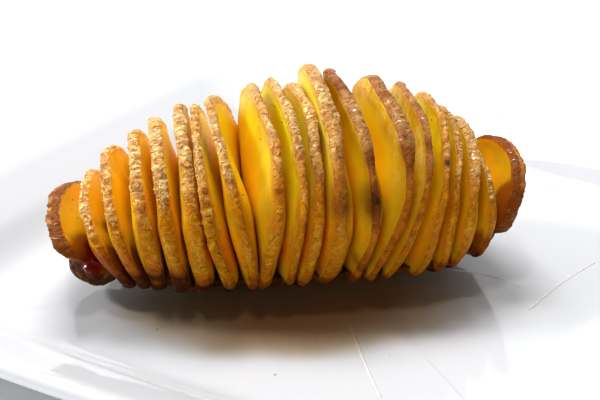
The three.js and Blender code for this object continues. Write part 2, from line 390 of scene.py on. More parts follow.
# One row for each slice, from the left end to the right: its place along the keel, the height of its
# top, how far the top leans to the right, how far the near and the far edge are turned to the right,
# its thickness at the skin, and how strongly its skin is browned, from 0 to 1.
SLICES = [
    (-45.9, 24.0, -11.6, -1.0, 3.6, 2.8, 0.60),
    (-40.6, 28.2, -9.0, -2.1, 0.8, 2.1, 0.35),
    (-36.9, 34.3, -7.7, -1.7, 2.8, 2.3, 0.20),
    (-33.6, 38.6, -4.0, -0.8, 1.6, 2.9, 0.20),
    (-28.2, 41.5, -4.2, -1.1, 1.6, 3.0, 0.12),
    (-23.1, 44.1, -3.2, -0.7, 1.8, 3.0, 0.18),
    (-16.9, 44.2, -5.8, -2.4, 1.8, 2.1, 0.20),
    (-11.2, 46.5, -8.0, 0.2, 5.2, 2.1, 0.40),
    (-8.7, 48.7, 0.9, 4.1, -0.4, 2.3, 0.48),
    (-2.6, 50.3, 0.4, 2.4, -0.6, 1.7, 0.35),
    (0.8, 48.6, 2.4, 1.4, -0.6, 2.0, 0.35),
    (7.1, 53.3, -0.6, 1.4, 1.2, 2.9, 0.48),
    (14.0, 52.3, -2.7, 3.6, 3.0, 1.7, 1.00),
    (17.7, 49.9, 4.6, 4.9, 0.8, 1.7, 0.95),
    (21.8, 47.0, 8.2, 3.9, 3.2, 1.4, 0.90),
    (29.7, 44.6, 6.9, -0.5, 2.6, 1.7, 0.45),
    (34.7, 40.8, 5.7, -1.5, 2.6, 1.5, 0.45),
    (38.4, 37.0, 6.7, -1.1, 2.6, 1.6, 0.40),
    (45.6, 32.4, 1.9, 0.4, 1.8, 1.3, 0.45),
    (50.0, 31.8, 6.4, -0.7, -3.2, 2.8, 0.90),
]
# Share of its height by which a slice has its full turn, where it isn't the usual one.
OPENS_BY = {1: 0.9, 8: 1.05, 9: 0.72, 13: 0.64, 14: 1.05}
# Slices that are wider near the top, and by which share.
CROWNED = {9: 0.5, 10: 0.4, 11: 0.35, 12: 0.9, 13: 1.4, 14: 0.5, 17: 0.6}
LOWEST_OF_END = {0: 12.3, len(SLICES) - 1: 10.6}


class Slice:
    """One slice, with its row's values by name."""

    def __init__(self, index, row):
        self.index = index
        self.at, self.height, self.lean, self.near, self.far, self.thick, self.toast = row
        self.is_end = index in LOWEST_OF_END
        self.low = LOWEST_OF_END.get(index, underside(self.at))
        self.half_width = HALF_WIDTH * fullness(self.at)
        self.opens_by = OPENS_BY.get(index, TURNED_BY)
        self.dome = {0: -END_DOME[0], len(SLICES) - 1: END_DOME[1]}.get(index, 0)


def smooth(low, high, value):
    """0 below low, 1 above high, and smooth between."""
    share = min(1, max(0, (value - low) / (high - low)))
    return share * share * (3 - 2 * share)


def fullness(x):
    """How full the potato is at a station, from 0 at its tips to 1 where it is fullest."""
    reach = HALF_LENGTH + FULLEST_AT if x < FULLEST_AT else HALF_LENGTH - FULLEST_AT
    u = min(0.995, abs(x - FULLEST_AT) / reach)
    return math.sqrt(1 - u ** 2.4)


def underside(x):
    """Height of the underside: flat in the middle, lifted towards both ends."""
    start, end = FLAT_BETWEEN
    past = max(0, (start - x) / (HALF_LENGTH + start), (x - end) / (HALF_LENGTH - end))
    return REST_GAP + END_LIFT * past ** 2.2


def up_slice(piece, z):
    """How far up a slice a height is, from 0 at the keel to 1 at its top."""
    return min(1, max(0, (z - KEEL_HEIGHT) / (piece.height - KEEL_HEIGHT)))


def middle_of(piece, y, z):
    """Where the middle of a slice runs: upright at the keel, then leaning and turning."""
    up = up_slice(piece, z)
    share = min(1, up / piece.opens_by)
    opened = share * share * (3 - 2 * share)
    from_middle = math.hypot(y / piece.half_width, TURN_SOFT) - TURN_SOFT
    turn = piece.near if y < 0 else piece.far
    turned = from_middle / (math.hypot(1, TURN_SOFT) - TURN_SOFT) * turn
    return piece.at + piece.lean * up ** 1.15 + turned * opened


def thickness_of(piece, z):
    """Thickness of a slice at a height: slices thin out upward, and some widen again at the top."""
    up = up_slice(piece, z)
    crown = CROWNED.get(piece.index, 0) * smooth(0.65, 0.85, up)
    return piece.thick * (1 + WEDGE * (1 - up) ** 1.5 + crown)


def swell_of(piece, side, y, z, radius):
    """How far the flesh on one side of a slice, -1 or 1, swells into its cut."""
    if not 0 <= piece.index + side < len(slices):
        return 0
    beside = slices[piece.index + side]
    apart = side * (middle_of(beside, y, z) - middle_of(piece, y, z))
    cut = max(0, apart - (thickness_of(piece, z) + thickness_of(beside, z)) / 2)
    lower = 1 - min(1, max(0, (up_slice(piece, z) - 0.45) / 0.4))
    from_edge = 1 - min(1, radius / SWELL_EDGE) ** 12
    return min(SWELL_LIMIT, SWELL_SHARE * cut) * from_edge * lower


def outline_of(piece, angle, radius):
    """Edge of a slice at an angle: a slightly squared oval with an uneven edge."""
    centre = (piece.height + piece.low) / 2
    tall = (piece.height - piece.low) / 2
    power = 2 / (2.3 if piece.is_end else 2.15)
    c, s = math.cos(angle), math.sin(angle)
    wander = UNEVEN[0] * math.sin(3 * angle + piece.index * 2.1)
    ripple = UNEVEN[1] * math.sin(7 * angle + piece.index * 1.3)
    uneven = 1 + wander + ripple
    y = piece.half_width * math.copysign(abs(c) ** power, c) * uneven * radius
    z = centre + tall * math.copysign(abs(s) ** power, s) * radius * (uneven if s > 0 else 1)
    return y, max(z, REST_GAP)


slices = [Slice(index, row) for index, row in enumerate(SLICES)]
print(len(slices), "slices, widest", round(max(s.half_width for s in slices) * 2, 1), "mm")

# %% [markdown]
# A slice starts as a thin disc, spun from its section. The section's rim is the skin, and it needs
# close points for its wrinkles, while the cut faces are smooth and need few. So the disc is spun
# coarse and only the edges that run along its rim are subdivided. The points also lie closer on the
# top and the front than underneath, where the keel hides them.

# %% A slice as a disc
# The section of a slice: radius, and how far out from its middle, as a share of half its thickness.
FACE_RINGS = (
    (0, 0.8), (0.2, 0.8), (0.38, 0.82), (0.54, 0.85),
    (0.68, 0.88), (0.79, 0.92), (0.87, 0.96), (0.92, 0.99),
)
RIM_RINGS = ((0.95, 1.0), (0.968, 0.92), (0.984, 0.72), (0.996, 0.38))
DOME_RINGS = ((0.2, 0.9), (0.38, 0.9), (0.52, 0.9), (0.64, 0.9), (0.75, 0.9), (0.84, 0.92), (0.9, 0.96))
RIM_FROM = 0.945
DOME_FROM = 0.15
AROUND_SLICE = 104
RIM_CUTS = 2
CROWDING = 0.3


def slice_profile(piece):
    """Section of a slice as (radius, across) points, from one face's middle to the other's."""
    left = [(r, -a) for r, a in FACE_RINGS + RIM_RINGS]
    right = [(r, a) for r, a in reversed(FACE_RINGS + RIM_RINGS)]
    if piece.dome < 0:
        left = [(r, -a) for r, a in FACE_RINGS[:1] + DOME_RINGS + RIM_RINGS]
    if piece.dome > 0:
        right = [(r, a) for r, a in reversed(FACE_RINGS[:1] + DOME_RINGS + RIM_RINGS)]
    half = piece.thick / 2
    return [(r, a * half) for r, a in left + [(1.0, 0)] + right]


def crowded(angle):
    """An angle with its neighbours drawn together towards the top."""
    from_top = math.remainder(angle - math.pi / 2, 2 * math.pi)
    return math.pi / 2 + from_top - CROWDING * math.sin(from_top)


def slice_disc(piece):
    """A disc across X with close points on its skin."""
    bm = spun(slice_profile(piece), AROUND_SLICE, "X")
    rings = {vert: math.hypot(vert.co.y, vert.co.z) for vert in bm.verts}

    def is_skin(vert):
        on_dome = piece.dome * vert.co.x > 0 and rings[vert] > DOME_FROM
        return rings[vert] > RIM_FROM or on_dome

    def runs_along(edge):
        one, other = edge.verts
        level = abs(one.co.x - other.co.x) < 1e-6 and abs(rings[one] - rings[other]) < 1e-4
        return level and is_skin(one) and is_skin(other)

    along = [edge for edge in bm.edges if runs_along(edge)]
    bmesh.ops.subdivide_edges(bm, edges=along, cuts=RIM_CUTS, use_grid_fill=True)
    return bm


# %% [markdown]
# The relief is what makes the skin. Dried skin shrinks more than the flesh under it, so it gathers
# into fine folds that run across the band, on top of slower lumps, and the band wanders a little to
# either side. Blender's noise gives heights that are the same on every run. The cut faces swell and
# sink slowly, and near the top of some slices they have blistered.

# %% Relief
WRINKLE_HEIGHT = 0.62
LUMP_HEIGHT = 0.26
PIT_HEIGHT = 0.2
WANDER_ACROSS = 0.55
UNEVEN_THICKNESS = 0.3
FACE_SWELL = 0.22
BLISTER_HEIGHT = 0.42
# How crinkled each slice's skin is, as a share of the wrinkles' height.
CRINKLED = (
    0.9, 1.1, 1.1, 1.1, 1.1, 1.0, 1.1, 1.0, 1.0, 0.8, 0.8, 0.8, 0.8, 0.7, 0.7, 0.9, 0.9, 1.0, 0.7, 0.6,
)
# Slices whose left face has blistered near the rim, and how strongly.
BLISTERED = {11: 0.6, 13: 0.4, 14: 0.6, 10: 0.4, 8: 0.3}


def fold(u, v, seed):
    """A sharp crest where the noise crosses zero, from 0 to 1."""
    return max(0, 1 - 2.8 * abs(noise.noise(Vector((u, v, seed)))))


def skin_relief(piece, along, across, up):
    """Height of the skin at a place on the band, in millimetres."""
    seed = piece.index * 17.3
    bend = 1.5 * noise.noise(Vector((along / 5, across / 4, seed + 1)))
    skew = 0.5 * across * math.sin(along / 7 + piece.index)
    wrinkles = fold((along + skew) / 2.0 + bend, across / 4.0 - bend, seed) - 0.35
    fine = fold((along - skew) / 1.05 + 5, across / 2.6 + bend, seed + 3) - 0.35
    lumps = noise.noise(Vector((along / 5.5, across / 3.5, seed + 7)))
    pits = noise.noise(Vector((along / 2.2, across / 2.2, seed + 11)))
    strength = CRINKLED[piece.index] * (0.7 + 0.6 * noise.noise(Vector((along / 16, 0.5, seed + 13))))
    strength *= 0.6 + 0.4 * smooth(0.2, 0.6, up)
    return (
        WRINKLE_HEIGHT * strength * (0.65 * wrinkles + 0.45 * fine)
        + LUMP_HEIGHT * lumps
        + PIT_HEIGHT * pits * strength
    )


def face_relief(piece, place, radius, left_face):
    """Height of a cut face in millimetres."""
    seed = piece.index * 5.1 + (40 if left_face else 0)
    swell = noise.noise(Vector((place[0] / 11, place[1] / 11, seed)))
    height = FACE_SWELL * swell
    if left_face and piece.index in BLISTERED:
        near_rim = max(0, 1 - abs(radius - 0.86) / 0.13)
        bubbles = max(0, noise.noise(Vector((place[0] / 3.2, place[1] / 3.2, seed + 9))) + 0.1)
        height += BLISTER_HEIGHT * BLISTERED[piece.index] * near_rim * bubbles
    return height


print("relief helpers ready")

# %% [markdown]
# What the materials need to know about a place travels with the mesh, as two sets of numbers at every
# corner: how much a spot is browned, charred or pale; and how high it stands in the skin's relief,
# how deep it lies in its cut, how near it is to the cut's edge and how dry its skin is. A UV map in
# millimetres runs along and across each band of skin, so that its pattern follows the band. Slices
# brown at their tops, at their bottoms and on the two end pieces. Noise makes all of it uneven.

# %% Browning
TOP_TOAST = 0.10
# How pale and dry the top of each slice's skin is.
DRY_TOPS = (
    0.7, 0.9, 0.9, 1.0, 1.0, 1.0, 1.0, 0.8, 0.7, 0.9, 0.9, 0.8, 0.4, 0.35, 0.35, 0.40, 0.6, 0.7, 0.8, 0.2,
)
# Shares of a slice's height between which its skin dries out.
DRY_BETWEEN = (0.54, 0.92)
# How strongly a slice is browned and charred from below, and over which heights in millimetres.
BOTTOM_TOAST = 1.1
TOAST_RISE = (5, 16)
BOTTOM_CHAR = 1.0
CHAR_RISE = (2.5, 9)
# A slice's browning is given for its rim, and its middle has this share of it.
MIDDLE_TOAST = 0.30
UNEVEN_TOAST = 0.45
# How strongly the domes of the two end pieces are baked, and their flesh: in the middle, and how much
# more towards the rim.
BAKED_END = 0.35
BAKED_FACE = {0: (0.85, 0.75), len(SLICES) - 1: (0.5, 1.45)}
# How strongly the flesh near the left and the right end is browned: partly baked, partly painted shade.
NEAR_END_TOAST_AND_SHADE = (0.62, 0.40)
# Slices whose flesh lies open to the light and is darkened a little more: partly baked, partly painted
# shade.
BAKED_AND_SHADED_FLESH = {7: 0.2, 8: 0.4}
# Charred spots: slice, side (-1 is the near side), height and size in millimetres, and strength.
CHARRED = [
    (12, -1, 30, 6.5, 0.85),
    (11, -1, 31, 6.5, 0.45),
    (13, -1, 40, 3.0, 0.45),
    (13, -1, 17, 2.0, 0.35),
    (14, -1, 26, 2.0, 0.45),
    (15, -1, 36.5, 1.1, 0.8),
    (14, -1, 40.5, 2.0, 0.6),
    (8, -1, 34, 1.2, 0.5),
    (7, -1, 36, 1.4, 0.4),
    (18, -1, 13, 5.0, 0.3),
    (0, -1, 11, 5.0, 0.7),
]


def lift_of(piece):
    """How much higher than usual a slice is browned from below, in millimetres."""
    if piece.is_end:
        return 0
    right_of_middle = smooth(2, 14, piece.at) * (1 - smooth(24, 38, piece.at))
    return 6 * smooth(14, 32, -piece.at) - 6 * right_of_middle


def end_face_toast(piece, up, z, radius, flesh, patch):
    """How browned the cut face and the rim of an end piece are."""
    middle, more = BAKED_FACE[piece.index]
    toast = middle + more * smooth(0.25, 1.0, radius + 0.15 * patch)
    toast *= 1 - 0.45 * smooth(0.6, 0.9, up) * flesh
    return toast + BOTTOM_TOAST * (1 - smooth(1, 9, z - piece.low + 4 * patch))


def browning(piece, y, z, radius, on_dome):
    """How browned, charred and pale a place on a slice is, each from 0 to 1."""
    up = up_slice(piece, z)
    rim = smooth(0.6, 1.0, radius)
    flesh = 1 - smooth(0.93, 0.96, radius)
    patch = noise.noise(Vector((y / 5, z / 5, piece.index * 3.7)))
    streak = noise.noise(Vector((y / 3, z / 8, piece.index * 2.3)))
    lowness = z - piece.low - lift_of(piece) + 5 * patch + 5 * streak
    toast = piece.toast * (MIDDLE_TOAST + (1 - MIDDLE_TOAST) * rim)
    toast += TOP_TOAST * smooth(0.80, 1.0, up) * rim
    toast += BOTTOM_TOAST * (1 - smooth(*TOAST_RISE, lowness))
    toast += UNEVEN_TOAST * patch * rim
    # Near the ends and on open slices the flesh is darkened: partly baking, partly painted shade.
    near_end = NEAR_END_TOAST_AND_SHADE[0 if piece.at < 0 else 1] * smooth(18, 42, abs(piece.at))
    toast += (near_end + BAKED_AND_SHADED_FLESH.get(piece.index, 0)) * flesh
    if piece.is_end and on_dome:
        toast += BAKED_END * (0.3 + 1.2 * patch)
    elif piece.is_end:
        toast = end_face_toast(piece, up, z, radius, flesh, patch)
    char = BOTTOM_CHAR * (1 - smooth(*CHAR_RISE, lowness)) * rim
    for index, side, height, size, strength in CHARRED:
        if index == piece.index and y * side > 0:
            away = math.hypot(z - height, (1 - radius) * 30) / size + 0.2 * patch
            char = max(char, strength * (1 - smooth(0.1, 1.1, away)))
    blistered = smooth(0.7, 0.9, radius) * flesh * smooth(0.45, 0.8, up)
    dry_top = smooth(0.60, 0.95, up) * smooth(0.945, 0.97, radius)
    pale = max(BLISTERED.get(piece.index, 0) * blistered, DRY_TOPS[piece.index] * dry_top)
    return min(1.6, max(0, toast)), char, pale


def dryness(piece, y, z):
    """How dry and crinkled the skin is at a place, from 0 low down to 1 near the top."""
    patch = noise.noise(Vector((y / 6, z / 6, piece.index * 4.1)))
    return DRY_TOPS[piece.index] * smooth(*DRY_BETWEEN, up_slice(piece, z) + 0.3 * patch)


def mark_corners(bm, measured):
    """Stores the UV map and the two sets of numbers. measured gives each vertex's values."""
    uv_layer = bm.loops.layers.uv.new("UVMap")
    roast_layer = bm.loops.layers.float_color.new("roast")
    cut_layer = bm.loops.layers.float_color.new("cut")
    for face in bm.faces:
        values = [measured[vert] for vert in face.verts]
        turn = sum(math.sin(v["along"] / v["around"]) for v in values)
        for loop, value in zip(face.loops, values):
            along = value["along"]
            if abs(along) > 2.8 * value["around"]:
                along = math.copysign(along, turn)
            loop[uv_layer].uv = (along + 60 * value["index"], value["across"])
            loop[roast_layer] = (*value["roast"], 1)
            loop[cut_layer] = (value["height"], value["inward"], value["edge"], value["dry"])


# %% [markdown]
# Now a disc becomes a slice: every point goes to its place on the slice's outline, the relief moves
# it along its normal, and the faces take the skin's or the flesh's material.

# %% Slices
FLESH, SKIN = 0, 1


def shape_slice(piece, bm):
    """Moves a disc's points to their places and returns what was measured at each."""
    measured = {}
    around = (piece.half_width + (piece.height - piece.low) / 2) / 2
    for vert in bm.verts:
        radius = min(1, math.hypot(vert.co.y, vert.co.z))
        angle = crowded(math.atan2(vert.co.z, vert.co.y))
        y, z = outline_of(piece, angle, radius)
        from_top = math.remainder(angle - math.pi / 2, 2 * math.pi)
        along = from_top * around
        across = vert.co.x
        on_dome = across * piece.dome > 0
        bulge = piece.dome * math.sqrt(max(0, 1 - radius * radius)) if on_dome else 0
        up = up_slice(piece, z)
        uneven = noise.noise(Vector((along / 7, 8.1, piece.index * 1.9))) * radius ** 4
        thicker = thickness_of(piece, z) / piece.thick * (1 + UNEVEN_THICKNESS * uneven)
        wave = noise.noise(Vector((along / 13, 3.3, piece.index * 2.9)))
        wander = WANDER_ACROSS * wave * up * radius ** 2
        inward = (1 - radius) * around
        side = -1 if across < 0 else 1
        belly = side * swell_of(piece, side, y, z, radius)
        measured[vert] = {
            "along": along,
            "around": around,
            "across": across * thicker + side * inward,
            "index": piece.index,
            "skin": smooth(0.94, 0.975, radius) if not on_dome else 1.0,
            "up": up,
            "height": 0.5,
            "inward": min(1, inward / 14),
            "edge": smooth(0.87, 0.96, radius) if not on_dome else 0.0,
            "dry": dryness(piece, y, z),
            "roast": browning(piece, y, z, 1.0 if on_dome else radius, on_dome),
            "radius": radius,
            "left": across < 0,
            "place": (y, z),
        }
        vert.co = (middle_of(piece, y, z) + across * thicker + bulge + wander + belly, y, z)
    return measured


def add_relief(piece, bm, measured):
    """Moves every point along its normal by the relief at its place."""
    bm.normal_update()
    moves = {}
    for vert, value in measured.items():
        skin = value["skin"]
        height = 0
        if skin > 0:
            relief = skin_relief(piece, value["along"], value["across"], value["up"])
            value["height"] = min(1, max(0, 0.5 + relief))
            height += skin * relief
        if skin < 1:
            height += (1 - skin) * face_relief(piece, value["place"], value["radius"], value["left"])
        moves[vert] = vert.normal * height
    for vert, move in moves.items():
        vert.co += move
        vert.co.z = max(vert.co.z, REST_GAP)


def build_slice(piece):
    bm = slice_disc(piece)
    measured = shape_slice(piece, bm)
    add_relief(piece, bm, measured)
    mark_corners(bm, measured)
    for face in bm.faces:
        skin = all(measured[vert]["skin"] > 0.5 for vert in face.verts)
        face.material_index = SKIN if skin else FLESH
    return bm


# %% [markdown]
# The keel is the uncut underside. Its section is the bottom of an oval, cut flat where the knife
# stopped. A lump of the underside stands under the left end, where oil pooled and burnt.

# %% The keel and the lump
AROUND_KEEL = 96
ALONG_KEEL = 72
KEEL_TOAST = 1.0
KEEL_CHAR = 0.8
LUMP_CHAR = 0.95


def browned_value(index, along, across, roast, height=0.5):
    """What mark_corners needs to know about a point that is skin all over."""
    return {
        "along": along, "around": 1e6, "across": across, "index": index,
        "height": height, "inward": 0.0, "edge": 0.0, "dry": 0.0, "roast": roast,
    }


def finish_skin(bm, measured):
    """Marks a shape that is skin all over."""
    mark_corners(bm, measured)
    for face in bm.faces:
        face.material_index = SKIN
    return bm


def build_keel():
    start, end = KEEL_ENDS
    stations = [start + (end - start) * i / ALONG_KEEL for i in range(ALONG_KEEL + 1)]
    bm = spun([(0, start)] + [(1, x) for x in stations] + [(0, end)], AROUND_KEEL, "X")
    tall_at_cut = KEEL_HEIGHT - REST_GAP
    measured = {}
    for vert in bm.verts:
        x = vert.co.x
        radius = math.hypot(vert.co.y, vert.co.z)
        angle = math.atan2(vert.co.z, vert.co.y)
        low = underside(x)
        tall = KEEL_DEPTH * fullness(x)
        half_width = HALF_WIDTH * fullness(x) * KEEL_WIDTH
        widest = half_width * math.sqrt(1 - ((tall - tall_at_cut) / tall) ** 2)
        y = widest * math.cos(angle) * radius
        bottom = low + tall - tall * math.sqrt(1 - (y / half_width) ** 2)
        z = low + tall_at_cut if math.sin(angle) > 0 else min(bottom, low + tall_at_cut)
        if radius < 0.5:
            z = low + tall_at_cut / 2
        lumps = noise.noise(Vector((x / 4, y / 4, 2.2)))
        y *= 1 + 0.02 * lumps
        z = max(REST_GAP, z + 0.3 * lumps * radius)
        char = KEEL_CHAR + 0.4 * noise.noise(Vector((x / 6, y / 6, 5.5)))
        measured[vert] = browned_value(30, x, y, (KEEL_TOAST, char, 0))
        vert.co = (x, y, z)
    return finish_skin(bm, measured)


def build_lump():
    bm = bmesh.new()
    bmesh.ops.create_icosphere(bm, subdivisions=5, radius=1)
    measured = {}
    for vert in bm.verts:
        out = vert.co.copy()
        relief = 0.08 * noise.noise(out * 2.2) + 0.05 * fold(out.x * 4, out.y * 4, out.z * 4)
        place = LUMP_CENTRE + out * LUMP_RADII * (1 + relief)
        place.z = max(place.z, REST_GAP)
        char = LUMP_CHAR + 0.6 * noise.noise(out * 1.7)
        measured[vert] = browned_value(31, place.y, place.z, (1.0, char, 0))
        vert.co = place
    return finish_skin(bm, measured)


# %% [markdown]
# Skin and flesh are two materials, because light behaves differently in them. Cooked flesh lets
# light in, spreads it and gives it back warmer, which subsurface scattering does: red travels
# furthest and blue hardly at all. The skin is thin and opaque, with a coat of oil that gives small
# sharp highlights on its folds. Both are built up in layers, from the plain colour over the browned
# tones to the burnt ones. Both are also darker low down, partly in colour and partly as painted
# shade, and the skin has painted highlights on the crests of its folds and strokes and painted shade
# in their hollows. Where juice has run out between the first slice, the second and the lump,
# it has burnt to a glossy dark red.

# %% The flesh
# Heights in metres between which the flesh and the skin turn from a darker amber to golden: darker low
# down, partly in colour and partly as painted shade.
AMBER_AND_SHADE_HEIGHTS = (0.020, 0.050)
# Heights in metres below which the flesh darkens towards the root of the cuts, partly in colour and
# partly as painted shade.
ROOT_AND_SHADE_HEIGHTS = (0.010, 0.026)
NOTCH = Vector((-37.1, -53.0, 20.0)) * MM
# Distances from the notch's middle between which its colour ends.
NOTCH_EDGE = (0.0036, 0.0050)
NOTCH_COLOUR = (0.15, 0.002, 0.0005)


def attribute(tree, name):
    """The four numbers of a stored set, as values."""
    stored = add_node(tree, "ShaderNodeAttribute", {"attribute_name": name}, {})
    parts = [add_node(tree, "ShaderNodeSeparateColor", {}, {0: stored}, output=i) for i in range(3)]
    return parts + [Value(stored.socket.node.outputs["Alpha"])]


def notch_at(place):
    """1 in the notch of burnt juice, and 0 away from it."""
    settings = {"operation": "DISTANCE"}
    away = add_node(place.socket.id_data, "ShaderNodeVectorMath", settings, {0: place, 1: NOTCH}, 1)
    return 1 - ramp(away, *NOTCH_EDGE)


def flesh_material():
    material, tree = new_material("potato_flesh")
    place = object_place(tree)
    toast, char, pale, _ = attribute(tree, "roast")
    _, inward, edge, _ = attribute(tree, "cut")
    cloud = noise_at(place, 90, detail=3.0)
    frayed = noise_at(place, 480, detail=3.0, roughness=0.6)
    grain = noise_at(place, 900, detail=2.0)
    fibres = noise_at(stretched(place, (1500, 1500, 260)), 1.0, detail=1.0)
    height = add_node(tree, "ShaderNodeSeparateXYZ", {}, {0: place}, output=2)
    low = 1 - ramp(height, *AMBER_AND_SHADE_HEIGHTS)
    root = 1 - ramp(height, *ROOT_AND_SHADE_HEIGHTS)
    baked_and_shaded = toast + (cloud - 0.5) * 0.7
    notch = notch_at(place)
    golden = mixed(cloud, (0.95, 0.67, 0.005), (0.97, 0.74, 0.011))
    layers = [
        # Darker low down and darkest at the root of the cuts: partly a deeper colour, partly painted
        # shade.
        (low * 0.95, (0.84, 0.225, 0.001)),
        (ramp(inward, 0.3, 1.0) * 0.4, (0.95, 0.41, 0.002)),
        (root * 0.7, (0.50, 0.075, 0.001)),
        (ramp(edge + (frayed - 0.5) * 1.2, 0.30, 0.95) * 0.85, (0.50, 0.18, 0.008)),
        (ramp(baked_and_shaded, 0.30, 0.95) * 0.8, (0.54, 0.31, 0.005)),
        (ramp(baked_and_shaded, 1.0, 1.5) * 0.9, (0.22, 0.035, 0.002)),
        (pale * ramp(frayed, 0.40, 0.62), (0.95, 0.70, 0.20)),
        (char, (0.10, 0.02, 0.005)),
        (notch * 0.9, NOTCH_COLOUR),
    ]
    sockets = {
        "Base Color": layered(golden, layers),
        "Roughness": 0.30 + 0.22 * grain,
        "Subsurface Weight": 0.95,
        "Subsurface Radius": (0.72, 0.44, 0.05),
        "Subsurface Scale": 0.013,
        "IOR": 1.12,
        "Coat Weight": 0.02 + 0.6 * notch,
        "Coat Roughness": 0.12,
        "Normal": bumped(0.35 * grain + 0.65 * fibres, 0.10 * MM),
    }
    return finish_material(material, sockets)


# %% The skin
def skin_material():
    material, tree = new_material("potato_skin")
    place = object_place(tree)
    band = add_node(tree, "ShaderNodeUVMap", {"uv_map": "UVMap"}, {})
    toast, char, pale, _ = attribute(tree, "roast")
    height, inward, _, dry = attribute(tree, "cut")
    warp = noise_at(stretched(band, (0.35, 0.35, 1)), 1.0, detail=1.0)
    bent = add_node(tree, "ShaderNodeVectorMath", {"operation": "ADD"}, {0: band, 1: warp * 3})
    ridged = {"noise_type": "RIDGED_MULTIFRACTAL"}
    crinkle = {"Vector": stretched(bent, (1.5, 0.5, 1)), "Scale": 1.0, "Detail": 4.0, "Distortion": 0.6}
    crackle = add_node(tree, "ShaderNodeTexNoise", ridged, crinkle)
    folds = noise_at(stretched(bent, (2.0, 0.45, 1)), 1.0, detail=3.0, roughness=0.6, distortion=0.6)
    slanted = stretched(bent, (1, 1, 1), turn=-0.35)
    strokes = noise_at(stretched(slanted, (1.25, 0.42, 1), (7, 3, 0)), 1.0, detail=2.0, distortion=0.5)
    # The crests of the strokes are painted as cream glints, a painted highlight, and their troughs as
    # dark furrows, painted shade; the same strokes raise the bump.
    painted_glints = ramp(strokes, 0.55, 0.61)
    furrow_shade = 1 - ramp(strokes, 0.36, 0.45)
    specks = noise_at(place, 650, detail=3.0, roughness=0.6)
    wet = ramp(noise_at(stretched(bent, (0.8, 0.6, 1)), 1.0, detail=2.0), 0.58, 0.62)
    blotch = noise_at(place, 210, detail=4.0, roughness=0.6)
    grain = noise_at(place, 1300, detail=2.0)
    freckle = ramp(grain, 0.66, 0.74)
    up = add_node(tree, "ShaderNodeSeparateXYZ", {}, {0: place}, output=2)
    low = 1 - ramp(up, *AMBER_AND_SHADE_HEIGHTS)
    browned = (toast + (blotch - 0.5) * 1.1).limited()
    raised = height + (folds - 0.5) * 0.9
    ends = ramp(up, 0.017, 0.022) * (1 - ramp(up, 0.026, 0.034)) * (1 - browned)
    scorched = ramp(toast + (blotch - 0.5) * 1.6 + (strokes - 0.5) * 1.2, 0.75, 1.45)
    burnt = ramp(char + (specks - 0.5) * 0.8 + (blotch - 0.5) * 0.5, 0.35, 1.0)
    notch = notch_at(place)
    amber = mixed(ramp(blotch, 0.3, 0.7), (0.68, 0.23, 0.001), (0.82, 0.33, 0.002))
    crust = mixed(ramp(up, 0.036, 0.052), (0.50, 0.145, 0.004), (0.37, 0.125, 0.055))
    glint_cream = mixed(dry, (0.90, 0.52, 0.03), (1.0, 0.84, 0.40))
    layers = [
        # Darker low down: partly a deeper colour, partly painted shade.
        (low * 0.9, (0.43, 0.165, 0.001)),
        (ramp(browned, 0.25, 0.85), crust),
        (ends * ramp(blotch, 0.35, 0.6) * 0.5, (0.80, 0.42, 0.03)),
        (pale * ramp(blotch, 0.15, 0.55) * 0.85, (1.0, 0.66, 0.30)),
        # Painted highlight: the crests of the folds are painted lighter.
        (ramp(raised, 0.45, 0.85) * dry * 0.45, (1.0, 0.62, 0.14)),
        # Painted shade: the hollows between the folds and in the crackle are painted darker.
        ((1 - ramp(raised, 0.22, 0.66)) * 0.5, (0.50, 0.15, 0.002)),
        ((1 - ramp(crackle, 0.3, 1.1)) * 0.3 * dry, (0.42, 0.13, 0.003)),
        # Painted shade in the furrows and painted highlights on the strokes.
        (furrow_shade * (0.60 + 0.15 * dry), (0.38, 0.11, 0.003)),
        (painted_glints * (0.22 + 0.70 * dry), glint_cream),
        (ramp(inward, 0.035, 0.085) * 0.5, (0.50, 0.15, 0.003)),
        (scorched * 0.9, (0.20, 0.042, 0.004)),
        (freckle * 0.4, (0.14, 0.05, 0.010)),
        (ramp(char + (blotch - 0.5) * 0.5, 0.05, 0.5) * 0.7, (0.26, 0.065, 0.004)),
        (burnt * 0.92, (0.030, 0.008, 0.003)),
        (notch * 0.9, NOTCH_COLOUR),
    ]
    relief = (1.4 * strokes + 0.5 * folds) * (0.6 + 0.4 * dry) + 0.2 * crackle * dry + 0.05 * grain
    sockets = {
        "Base Color": layered(amber, layers),
        "Roughness": 0.55 - 0.25 * wet,
        "Subsurface Weight": 0.25,
        "Subsurface Radius": (1.0, 0.40, 0.05),
        "Subsurface Scale": 0.004,
        "IOR": 1.12,
        "Coat Weight": (0.04 + 0.96 * wet) * (1 - 0.3 * low) * (1 - 0.8 * burnt) + notch,
        "Coat IOR": 1.42,
        "Coat Roughness": 0.05,
        "Normal": bumped(relief, 1.5 * MM),
    }
    return finish_material(material, sockets)


flesh = flesh_material()
skin = skin_material()
print("materials:", flesh.name, skin.name)

# %% [markdown]
# The slices, the keel and the lump are closed shapes that run into each other. One Boolean union
# joins them into a single skin with nothing left inside, which the flesh's scattering needs too: a
# buried face would stop the light. The union keeps the corners' numbers.

# %% One potato
def to_place(bm):
    """Moves a bmesh from the potato's own directions to where it lies on the dish."""
    bmesh.ops.rotate(bm, cent=(0, 0, 0), matrix=Matrix.Rotation(POTATO_TURN, 3, "Z"), verts=bm.verts)
    bmesh.ops.translate(bm, vec=POTATO_OFFSET, verts=bm.verts)
    return bm


